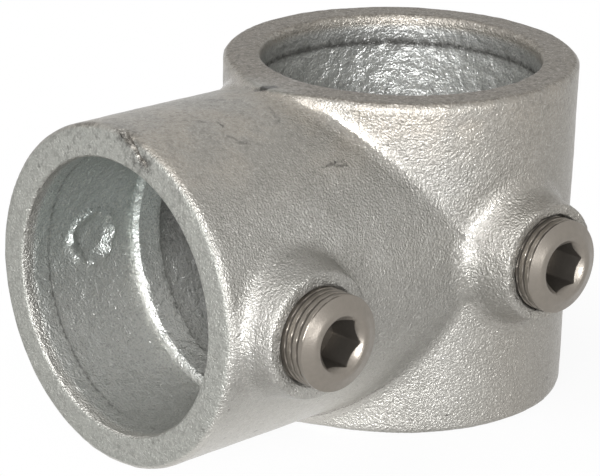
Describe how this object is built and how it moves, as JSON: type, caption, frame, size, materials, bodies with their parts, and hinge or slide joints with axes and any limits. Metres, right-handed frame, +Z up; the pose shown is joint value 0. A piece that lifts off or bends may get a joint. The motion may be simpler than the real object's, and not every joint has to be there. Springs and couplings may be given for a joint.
{
  "type": "tube clamp tee fitting",
  "caption": "Galvanised cast-iron tee that joins a tube's end at a right angle to the side of a through tube, both held by hexagon-socket set screws.",
  "frame": {"origin": "the point where the axis of the through sleeve and the axis of the socket cross", "axes": "+Z up along the through sleeve, -Y along the socket and out of its mouth, +X towards the two set screws"},
  "size_m": [0.0742, 0.0996, 0.0614],
  "materials": {
    "galvanised_casting": "hot-dip galvanised as-cast surface, satin with an orange-peel grain",
    "set_screw_steel": "hardened steel, machined, lightly oiled"
  },
  "bodies": {
    "casting": {"tee_casting": "galvanised_casting"},
    "sleeve_screw": {"sleeve_set_screw": "set_screw_steel"},
    "socket_screw": {"socket_set_screw": "set_screw_steel"}
  },
  "joints": [
    {"name": "sleeve_screw_travel", "type": "slide", "parent": "casting", "child": "sleeve_screw", "axis": [1, 0, 0], "range_m": [-0.00515, 0.006]},
    {"name": "socket_screw_travel", "type": "slide", "parent": "casting", "child": "socket_screw", "axis": [1, 0, 0], "range_m": [-0.00335, 0.0045]}
  ]
}
